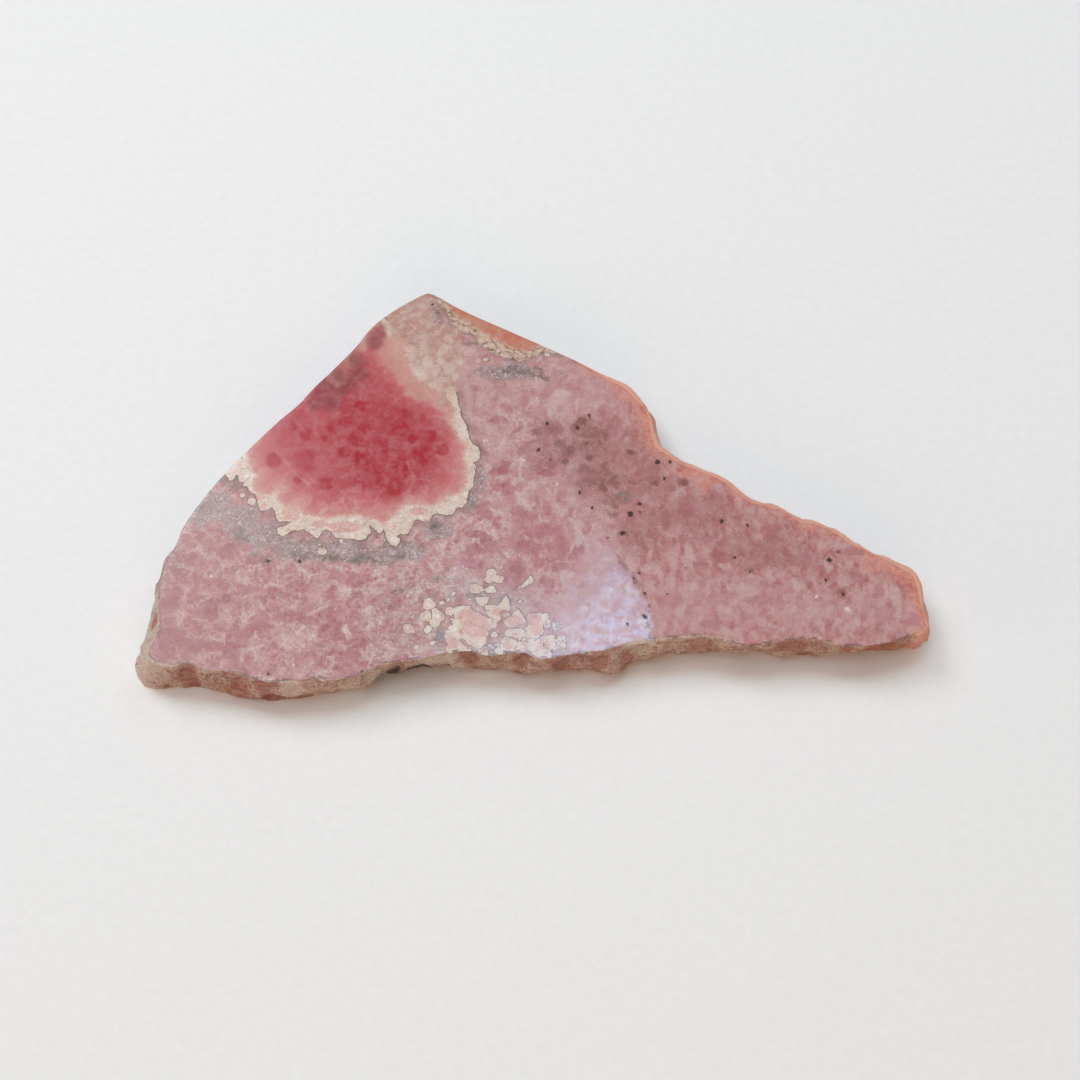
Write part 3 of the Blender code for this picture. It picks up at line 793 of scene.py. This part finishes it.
def cream_spherulites(tree, colour, where, fine):
    """Cream bodies with a thin dark outline and a fainter line inside, in darker stone."""
    rag = tree.about_zero(tree.noise(where, 4.5, 3, 0.6))
    packed = tree.stirred(where, 1.2, 0.5)
    apart = tree.calc("SUBTRACT", tree.cells(packed, 1.5, "DISTANCE_TO_EDGE"), 0.045)
    present = tree.step(tree.cells(packed, 1.5, "F1", "Color"), 0.14, 0.16)
    missing = tree.calc("SUBTRACT", tree.times(present, tree.attribute("crowd")), 1.0)
    crowd = tree.line(missing, 0.8, apart)
    depth = tree.line(rag, 0.34, tree.calc("MAXIMUM", tree.attribute("cream"), crowd))
    colour = tree.stain(colour, CREAM, 0.5, "beads", fine, 1.2, 0.2, 0.7)
    colour = tree.mix(tree.times(tree.step(depth, -0.40, -0.05), 0.22), colour, LILAC_DARK)
    inner = rim_line(tree, tree.calc("SUBTRACT", depth, 0.30), 0.09)
    inner = tree.times(inner, tree.step(fine, 0.45, 0.60), 0.5)
    cream = tree.mix(inner, creamy(tree, where), OUTLINE)
    colour = tree.mix(tree.step(depth, -0.05, 0.04), colour, cream)
    bold = tree.line(tree.step(tree.noise(where, 0.9, 3), 0.42, 0.58), 0.5, 0.4)
    return tree.mix(tree.times(rim_line(tree, depth, 0.07), bold), colour, OUTLINE)


def specks(tree, colour, where, fine):
    """Specks, painted glints of tiny white dots where light catches the stone, a scatter of tiny dark grains,
    and a dark lip at the broken edges.
    """
    for name, tint, most in (("rust", RUST, 0.85), ("black", BLACK, 0.92), ("white", WHITE, 0.60)):
        colour = tree.stain(colour, tint, most, name, fine, 2.2, 0.45, 0.85)
    dot = tree.step(tree.cells(where, 2.0), 0.26, 0.10)
    chance = tree.cells(where, 2.0, "F1", "Color")
    # Painted glints: white dots, strongest in the lilac zones, outside the large nodule.
    painted_glint = tree.line(tree.attribute("lilac"), 0.85, 0.24)
    outside = tree.step(tree.attribute("nodule_rim"), -0.1, -0.4)
    lit = tree.times(dot, tree.step(chance, 0.57, 0.61), painted_glint, outside)
    colour = tree.mix(lit, colour, WHITE)
    dark = tree.times(dot, tree.step(chance, 0.30, 0.26), tree.attribute("peppered"), 0.75)
    colour = tree.mix(dark, colour, BLACK)
    broken = tree.step(tree.noise(where, 0.7, 3), 0.48, 0.56)
    lip = tree.step(tree.line(fine, 0.7, tree.attribute("from_rim")), 0.66, 0.52)
    return tree.mix(tree.times(lip, broken, tree.attribute("crust"), 0.80), colour, OUTLINE)


def stone_material(name, pattern):
    """A new material with the stone's pattern in it: the material, its tree and the pattern's outputs."""
    material, tree = new_material(name)
    tree.shader("IOR", STONE_IOR)
    return material, tree, tree.add("ShaderNodeGroup", node_tree=pattern).outputs


def polished_material(pattern):
    """The polished face: glossy, but matte to the right, dull on dark specks and on the tarnished patch."""
    material, tree, stone = stone_material("polished_stone", pattern)
    tree.shader("Base Color", stone["Color"])
    tree.shader("Roughness", stone["Roughness"])
    gloss = tree.line(tree.attribute("matte"), -0.22, 0.5)
    unpitted = tree.line(tree.attribute("black"), -0.85, 1.0)
    bright = tree.line(tree.attribute("tarnish"), -0.75, 1.0)
    tree.shader("Specular IOR Level", tree.times(gloss, unpitted, bright))
    tree.shader("Normal", tree.bump(stone["Height"], POLISH_BUMP, 0.4))
    return material


def broken_material(pattern):
    """Dusty tan over rose on the broken edges, plain stone where the edge was sawn or worn; the worn edge
    painted paler against its shade, painted light on the left wall and painted shade at the hollow foot.
    """
    material, tree, stone = stone_material("broken_stone", pattern)
    where = tree.in_millimetres()
    bedded = tree.vector("MULTIPLY", tree.stirred(where, 0.6, 0.8), (1.0, 1.0, 1.8))
    coarse = tree.noise(bedded, 0.6, 6, 0.7)
    sand = tree.noise(where, 4.2, 6, 0.75)
    dust = tree.ramp(sand, ((0.36, DUST_DARK), (0.46, DUST), (0.60, DUST_PALE)))
    rock = tree.mix(0.5, stone["Color"], WALL_ROSE)
    crusted = tree.mix(tree.step(coarse, 0.38, 0.54), rock, dust)
    crusted = tree.mix(tree.times(tree.step(sand, 0.48, 0.38), 0.60), crusted, DUST_DARK)
    pebbles = tree.step(tree.noise(where, 2.6, 5, 0.8), 0.54, 0.62)
    crusted = tree.mix(tree.times(pebbles, 0.55), crusted, DUST_PALE)
    for name, tint, most in (
        # pale dust, and painted light on the left wall
        ("wall_pale_and_lit", DUST_PALE, 0.85),
        ("wall_red", WALL_RED, 0.5),
        ("wall_orange", WALL_ORANGE, 0.8),
        # painted shade at the hollow foot of the wall
        ("wall_foot_shade", BLACK, 0.95),
    ):
        crusted = tree.stain(crusted, tint, most, name, coarse, 3.0, 0.10, 0.8)
    grit = tree.line(tree.noise(where, 5.0, 5, 0.85), 3.2, -0.6)
    crusted = tree.mix(1.0, crusted, grit, "MULTIPLY")
    # Coral rind on the worn edge, painted paler against the shade there.
    worn = tree.mix(tree.times(tree.attribute("rind"), 0.9), stone["Color"], RIND_WORN_LIGHTENED)
    tree.shader("Base Color", tree.mix(tree.attribute("crust"), worn, crusted))
    tree.shader("Roughness", WALL_ROUGHNESS)
    grain = tree.calc("ADD", sand, tree.times(coarse, 2.0))
    tree.shader("Normal", tree.bump(grain, WALL_BUMP, tree.line(tree.attribute("crust"), 0.85, 0.15)))
    return material


def sawn_material(pattern):
    """The underside: the same stone, dull and pale, with the saw's shallow arcs."""
    material, tree, stone = stone_material("sawn_stone", pattern)
    where = tree.in_millimetres()
    arcs = tree.add("ShaderNodeTexWave", wave_type="RINGS", rings_direction="Z")
    tree.put(arcs.inputs["Vector"], tree.vector("ADD", where, SAW_PLACE))
    for name, value in (("Scale", 0.35), ("Distortion", 0.6), ("Detail", 2)):
        arcs.inputs[name].default_value = value
    sand = tree.noise(where, 5.0, 5, 0.7)
    tree.shader("Base Color", tree.mix(0.4, stone["Color"], SAWN_PALE))
    tree.shader("Roughness", SAWN_ROUGHNESS)
    tree.shader("Normal", tree.bump(tree.calc("ADD", arcs.outputs["Fac"], sand), SAW_BUMP, 0.5))
    return material


# ---------------------------------------------------------------- distances to the markings
NOISE_TABLE = 256


def smooth_noise(points, size, seed):
    """Noise from -1 to 1 at points in millimetres, with lumps about size across."""
    table = np.random.default_rng(seed).uniform(-1, 1, (NOISE_TABLE, NOISE_TABLE))
    cell = points / size
    base = np.floor(cell).astype(int)
    share = cell - base
    share = share * share * (3 - 2 * share)
    x0, y0 = base.T % NOISE_TABLE
    x1, y1 = (x0 + 1) % NOISE_TABLE, (y0 + 1) % NOISE_TABLE
    low = table[x0, y0] + (table[x1, y0] - table[x0, y0]) * share[:, 0]
    high = table[x0, y1] + (table[x1, y1] - table[x0, y1]) * share[:, 0]
    return low + (high - low) * share[:, 1]


def warp(points, *waves):
    """Points moved by waves of noise (size, reach, seed), so that markings get natural edges."""
    for size, reach, seed in waves:
        both = [smooth_noise(points, size, seed), smooth_noise(points, size, seed + 1)]
        points = points + reach * np.stack(both, 1)
    return points


def distance_to_line(points, line):
    best = np.full(len(points), np.inf)
    for start, end in zip(line[:-1], line[1:]):
        way = end - start
        share = np.clip(((points - start) @ way) / (way @ way), 0, 1)
        best = np.minimum(best, np.linalg.norm(points - start - share[:, None] * way, axis=1))
    return best


def depth_in(points, outline):
    """Signed distance into a closed outline, positive inside."""
    loop = np.vstack([outline, outline[:1]])
    inside = np.zeros(len(points), bool)
    for start, end in zip(loop[:-1], loop[1:]):
        crosses = (start[1] > points[:, 1]) != (end[1] > points[:, 1])
        way = end - start
        rise = way[1] if way[1] != 0 else 1e-12
        inside ^= crosses & (points[:, 0] < way[0] * (points[:, 1] - start[1]) / rise + start[0])
    return np.where(inside, 1, -1) * distance_to_line(points, loop)


def disc_depths(points, discs):
    """Signed distance, in millimetres, into the nearest of some discs given in pixels."""
    best = np.full(len(points), -np.inf)
    for centre, (_, _, radius) in zip(on_face(discs), discs):
        best = np.maximum(best, radius * PX / MM - np.linalg.norm(points - centre, axis=1))
    return best


def patches(points, spots, soft, height=TOP):
    """1 in the middle of any of some ellipses (x, y, half width, half height), falling to 0 outside."""
    best = np.zeros(len(points))
    tall = 1 / math.sin(CAMERA_ELEVATION)
    for centre, spot in zip(on_face(spots, height), spots):
        half = np.array((spot[2], spot[-1] * tall)) * PX / MM
        away = np.linalg.norm((points - centre) / half, axis=1)
        best = np.maximum(best, np.clip((1 + soft - away) / (2 * soft), 0, 1))
    return best * best * (3 - 2 * best)


def veins(points, lines, width):
    """1 on any of some lines, falling to 0 at a distance of width."""
    best = np.zeros(len(points))
    for line in lines:
        best = np.maximum(best, np.clip(1 - distance_to_line(points, on_face(line)) / width, 0, 1))
    return best


def ramp_between(points, span, axis):
    """0 at one pixel column (axis 0) or row (axis 1) of the polished face and 1 at another."""
    start, end = (on_face((px, px))[0, axis] for px in span)
    return np.clip((points[:, axis] - start) / (end - start), 0, 1)


# Waves of noise for warp, as (size, reach, seed), and widths over which markings fade, in millimetres.
ROUGH_WAVES = ((2.2, 0.45, 11), (0.8, 0.22, 21))
GENTLE_WAVES = ((1.1, 0.10, 31),)
NERVOUS_WAVES = ((0.5, 0.10, 51), (1.3, 0.12, 61))
JAGGED_WAVES = ((0.4, 0.14, 71), (0.9, 0.12, 81))
VEIN_WAVES = ((1.0, 0.30, 41),)
POLISH_FADE, SLOWER_FADE = 1.2, 5.0
CORE_FADE, CORE_TOP_FADE = 1.6, 0.4
FLECK_FADE = 8.0
RIND_WIDTH, RIND_SWING, RIND_LUMPS = 2.0, 1.5, 5.0
# Depths under the face over which the painted shade at the wall's foot begins and grows full.
FOOT_SHADE_FROM, FOOT_SHADE_FADE = 1.4, 0.9  # depths under the face


def markings(points):
    """Every marking of the stone as one number a point, from x and y in millimetres."""
    rough = warp(points, *ROUGH_WAVES)
    gentle = warp(points, *GENTLE_WAVES)
    nervous = warp(points, *NERVOUS_WAVES)
    jagged = warp(points, *JAGGED_WAVES)
    cream = disc_depths(nervous, CREAM_DISCS)
    for shape in CREAM_SHAPES:
        cream = np.maximum(cream, depth_in(nervous, on_face(shape)))
    polish = on_face(MATTE_EDGE)
    past_polish = rough[:, 0] - np.interp(rough[:, 1], polish[::-1, 1], polish[::-1, 0])
    polish_fade = POLISH_FADE + SLOWER_FADE * ramp_between(points, MATTE_ROWS, 1)
    top = on_face(CORE_TOP)
    under_top = np.interp(gentle[:, 0], top[:, 0], top[:, 1]) - gentle[:, 1]
    in_core = np.clip(0.5 + depth_in(gentle, on_face(NODULE_CORE)) / CORE_FADE, 0, 1)
    blurred = np.maximum(ramp_between(points, BLURRED_COLUMNS, 0), ramp_between(points, BLURRED_ROWS, 1))
    past_flecks = rough[:, 0] - on_face(FLECKED_FROM)[0, 0]
    shaded = 0.36 * patches(rough, SHADED_ZONES, 0.5)
    faint_lilac = 0.38 * patches(rough, FAINT_LILAC_ZONES, 0.8)
    shaded_foot = 0.6 * patches(points, SHADE_FALLOFF_ZONES, 0.8)
    return {
        "nodule_rim": depth_in(points, on_face(NODULE_RIM)),
        "nodule_pink": depth_in(gentle, on_face(NODULE_PINK)),
        "core": in_core * np.clip(0.5 + under_top / CORE_TOP_FADE, 0, 1),
        "dark_cells": patches(gentle, DARK_CELLS, 0.32),
        "shade": np.maximum(patches(gentle, SHADE_CELLS, 0.70), shaded),
        "seams": veins(gentle, PALE_CELL_LINES, 0.42),
        "coral_rim": depth_in(gentle, on_face(CORAL_RIM)),
        "coral_heart": depth_in(gentle, on_face(CORAL_HEART)),
        "cream": cream,
        "hearts": patches(gentle, PINK_HEARTS, 0.5),
        "rose": patches(rough, ROSE_PATCHES, 0.4),
        "pale": patches(rough, PALE_PATCHES, 0.6),
        "veins": veins(warp(points, *VEIN_WAVES), PALE_VEINS, 0.26),
        "lilac": np.maximum(patches(rough, LILAC_ZONES, 0.5), faint_lilac),
        "crowd": patches(gentle, CROWDED, 0.3),
        "crack": veins(jagged, (CRACK,), 0.5),
        "buff": patches(rough, BUFF_ZONES, 0.6),
        "crisp": 1 - 0.65 * blurred,
        "grey": patches(rough, GREY_STAINS, 0.6),
        "brown": patches(rough, BROWN_ZONES, 0.6),
        "rust": patches(jagged, RUST_SPECKS, 0.5),
        "black": patches(jagged, BLACK_SPECKS, 0.5),
        "white": patches(jagged, WHITE_SPECKS, 0.5),
        "beads": patches(nervous, SOFT_BEADS, 0.35),
        "dusky": patches(rough, DUSKY_ZONES, 0.8),
        "mauve": patches(rough, MAUVE_ZONES, 0.8),
        # painted shade towards the left end and low on the left
        "deep": np.maximum(ramp_between(points, SHADE_FALLOFF_COLUMNS, 0), shaded_foot),
        "scorched": patches(rough, SCORCHED_ZONES, 0.5),
        "sunburnt": patches(rough, SUNBURNT_ZONES, 0.6),
        "peppered": patches(rough, PEPPERED_ZONES, 0.6),
        "flecked": np.clip(past_flecks / FLECK_FADE, 0, 1),
        "tarnish": patches(rough, TARNISHED_ZONES, 0.8),
        "matte": np.clip(past_polish / polish_fade, 0, 1),
    }


def edge_markings(points, down):
    """Rind, dust, stains, painted shade at the wall's hollow foot and painted light on the left wall, all
    following the edges, from places and depths under the face in millimetres.
    """
    rough = warp(points, *ROUGH_WAVES)
    gentle = warp(points, *GENTLE_WAVES)
    to_worn = distance_to_line(rough, on_face(BACK_RIGHT_EDGE))
    to_cut = distance_to_line(rough, on_face(CUT_EDGE))
    rind_width = RIND_WIDTH + RIND_SWING * smooth_noise(points, RIND_LUMPS, 91)
    spots = 0.85 * patches(rough, RIND_ZONES, 0.8)
    marks = {
        "rind": np.maximum(np.clip(1.2 - to_worn / rind_width, 0, 1), spots),
        "crust": np.clip((to_cut - 1.2) / 1.2, 0, 1) * np.clip((to_worn - 1.8) / 1.5, 0, 1),
    }
    for name, wall_spots in (
        ("wall_pale_and_lit", WALL_PALE_AND_LIT_SPOTS),
        ("wall_red", WALL_RED_SPOTS),
        ("wall_orange", WALL_ORANGE_SPOTS),
        ("wall_foot_shade", WALL_FOOT_SHADE_SPOTS),
    ):
        marks[name] = patches(gentle, wall_spots, 0.5, WALL_MIDDLE)
    # Painted shade: darker towards the foot.
    marks["wall_foot_shade"] *= np.clip((down - FOOT_SHADE_FROM) / FOOT_SHADE_FADE, 0, 1)
    return marks


# ---------------------------------------------------------------- the mesh
TINY = 1e-6
WALL_CUTS = 2
HOLLOW_PLACE = (525, 672)  # a pixel
HOLLOW_WIDTH, HOLLOW_DEPTH = 3.2 * MM, 0.95 * MM
# The rest is in millimetres: the grit's lumps across and their depth, and how it fades towards open edges.
GRIT_SIZES = ((1.3, 0.26), (0.6, 0.18), (0.3, 0.10))
GRIT_PLACE = Vector((7, 3, 1))
RIM_FADE, FOOT_FADE, EDGE_SHARE = 0.8, 0.5, 0.35
# Spacing of the face's points, and how near a line they are at their closest.
FACE_SPACING, FINE_SPACING, UNDER_SPACING = 0.42, 0.14, 1.1
FINE_REACH, PINK_REACH = 0.5, 0.4
RIM_MARGIN = 0.14
# How far the markings lean and wander sideways for each millimetre down.
DRIFT = np.array((0.10, -0.06))
WANDER, WANDER_SIZE = 0.2, 3.0
SHARP_ANGLE = math.radians(40)
POLISHED, BROKEN, SAWN = 0, 1, 2


def wall_mesh():
    """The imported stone's wall with its triangles split, and its rim and foot left open."""
    shape = bmesh.new()
    shape.from_mesh(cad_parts[NODE].data)
    bmesh.ops.remove_doubles(shape, verts=shape.verts, dist=TINY)
    caps = []
    for face in shape.faces:
        heights = [point.co.z for point in face.verts]
        if min(heights) > TOP - TINY or max(heights) < TINY:
            caps.append(face)
    bmesh.ops.delete(shape, geom=caps, context="FACES")
    bmesh.ops.subdivide_edges(shape, edges=shape.edges, cuts=WALL_CUTS, use_grid_fill=True)
    return shape


def hollow_foot(shape):
    """The front wall leans in under the cluster of spherulites, more towards its foot."""
    middle = on_face(HOLLOW_PLACE)[0, 0] * MM
    for point in shape.verts:
        if point.normal.y < -0.2:
            near = math.exp(-((point.co.x - middle) / HOLLOW_WIDTH) ** 2)
            point.co.y += HOLLOW_DEPTH * near * (TOP - point.co.z) / TOP


def roughen(shape):
    """Grit cut into the wall, less at the rim and the foot, whose points keep their height."""
    moves = []
    for point in shape.verts:
        place = point.co / MM
        depth = 0
        for size, deep in GRIT_SIZES:
            depth += deep * (0.5 + 0.5 * noise.noise(place / size + GRIT_PLACE))
        fade = min(1.0, (TOP - point.co.z) / MM / RIM_FADE, point.co.z / MM / FOOT_FADE)
        inward = -point.normal
        if point.is_boundary:
            inward = Vector((inward.x, inward.y, 0)).normalized()
            fade = EDGE_SHARE
        moves.append((point, inward * depth * fade * MM))
    for point, move in moves:
        point.co += move


def open_loop(shape, height):
    """The ordered points of the wall's open edge at this height."""
    edges = [e for e in shape.edges if e.is_boundary and abs(e.verts[0].co.z - height) < TINY]
    ways = {}
    for edge in edges:
        for a, b in (edge.verts, reversed(edge.verts)):
            ways.setdefault(a, []).append(b)
    first = edges[0].verts[0]
    loop, before = [first], None
    while True:
        onward = [v for v in ways[loop[-1]] if v is not before]
        before = loop[-1]
        if onward[0] is first and len(loop) > 2 or len(loop) > len(edges):
            break
        loop.append(onward[0])
    return loop


def lattice(low, high, spacing):
    """Points of a triangular lattice over a rectangle."""
    rows = np.arange(low[1], high[1], spacing * math.sqrt(0.75))
    across = np.arange(low[0], high[0], spacing)
    x, y = np.meshgrid(across, rows)
    x[1::2] += spacing / 2
    return np.stack([x.ravel(), y.ravel()], 1)


def close_with(shape, loop, interior, height, material):
    """Fills an open loop with triangles that use the interior points, at one height."""
    rim = np.array([v.co[:2] for v in loop]) / MM
    points = [Vector(p) for p in np.vstack([rim, interior])]
    count = len(loop)
    edges = [(i, (i + 1) % count) for i in range(count)]
    _, _, triangles, origins, _, _ = geometry.delaunay_2d_cdt(points, edges, [], 1, TINY)
    made = list(loop) + [shape.verts.new((x * MM, y * MM, height)) for x, y in interior]
    for triangle in triangles:
        corners = [made[origins[i][0]] for i in triangle]
        if height < TOP / 2:
            corners.reverse()
        shape.faces.new(corners).material_index = material


def face_points(rim):
    """Interior points of the polished face, closer together along crisp markings."""
    low, high = rim.min(0), rim.max(0)
    fine = lattice(low, high, FINE_SPACING)
    coarse = lattice(low, high, FACE_SPACING)

    def crisp(points):
        marks = markings(points)
        lines = [np.abs(marks[name]) for name in ("nodule_rim", "cream")]
        near = np.minimum.reduce(lines) < FINE_REACH
        near |= np.abs(marks["nodule_pink"]) < PINK_REACH
        for name in ("black", "white", "rust", "veins", "seams"):
            near |= marks[name] > 0
        return near | ((marks["dark_cells"] > 0.02) & (marks["dark_cells"] < 0.98))

    chosen = np.vstack([fine[crisp(fine)], coarse[~crisp(coarse)]])
    return chosen[depth_in(chosen, rim) > RIM_MARGIN]


def distance_from_rim(places, rim):
    """How far each point is from the polished face's edge, in millimetres."""
    steps = np.linspace(0, 1, 5)[:-1, None, None]
    dense = (rim + (np.roll(rim, -1, 0) - rim) * steps).reshape(-1, 2)
    tree = kdtree.KDTree(len(dense))
    for index, point in enumerate(dense):
        tree.insert((*point, TOP / MM), index)
    tree.balance()
    return np.array([tree.find(place)[2] for place in places])


def polished_slice():
    """The whole stone: the wall refined, closed with a fine face above and a plain one below."""
    shape = wall_mesh()
    for face in shape.faces:
        face.material_index = BROKEN
    shape.normal_update()
    hollow_foot(shape)
    roughen(shape)
    rim, foot = open_loop(shape, TOP), open_loop(shape, 0.0)
    rim_places, foot_places = (np.array([v.co[:2] for v in loop]) / MM for loop in (rim, foot))
    close_with(shape, rim, face_points(rim_places), TOP, POLISHED)
    below = lattice(np.array(LOW[:2]) / MM, np.array(HIGH[:2]) / MM, UNDER_SPACING)
    close_with(shape, foot, below[depth_in(below, foot_places) > RIM_MARGIN * 3], 0.0, SAWN)
    bmesh.ops.recalc_face_normals(shape, faces=shape.faces)
    mesh = bpy.data.meshes.new("polished_slice")
    shape.to_mesh(mesh)
    shape.free()
    mesh.polygons.foreach_set("use_smooth", np.ones(len(mesh.polygons), bool))
    mesh.set_sharp_from_angle(angle=SHARP_ANGLE)
    sharpen_borders(mesh)
    write_markings(mesh, rim_places)
    pattern = stone_pattern()
    for material in (polished_material(pattern), broken_material(pattern), sawn_material(pattern)):
        mesh.materials.append(material)
    stone = bpy.data.objects.new("polished_slice", mesh)
    bpy.context.scene.collection.objects.link(stone)
    print("polished_slice", len(mesh.polygons), "triangles")
    return stone


def sharpen_borders(mesh):
    """Keeps the polished face's shading apart from the wall's, except along the worn and sawn edges."""
    sides = {}
    for face in mesh.polygons:
        for edge in face.edge_keys:
            sides.setdefault(edge, set()).add(face.material_index)
    borders = [edge for edge in mesh.edges if len(sides[edge.key]) > 1]
    ends = [[mesh.vertices[i].co[:2] for i in edge.vertices] for edge in borders]
    middles = np.mean(ends, axis=1) / MM
    for edge, crust in zip(borders, edge_markings(middles, 0.0)["crust"]):
        edge.use_edge_sharp = bool(crust > 0.5) or SAWN in sides[edge.key]


def write_markings(mesh, rim):
    """Stores every marking on the mesh points, for the shaders to read as attributes."""
    places = np.zeros(len(mesh.vertices) * 3, np.float32)
    mesh.vertices.foreach_get("co", places)
    places = places.reshape(-1, 3).astype(float) / MM
    down = TOP / MM - places[:, 2]
    wander = WANDER * down * smooth_noise(np.stack([places[:, 0], 2 * down], 1), WANDER_SIZE, 101)
    marks = markings(places[:, :2] + down[:, None] * DRIFT + wander[:, None])
    marks.update(edge_markings(places[:, :2], down))
    marks["from_rim"] = distance_from_rim(places, rim)
    for name, values in marks.items():
        layer = mesh.attributes.new(name, "FLOAT", "POINT")
        layer.data.foreach_set("value", values.astype(np.float32))


main()
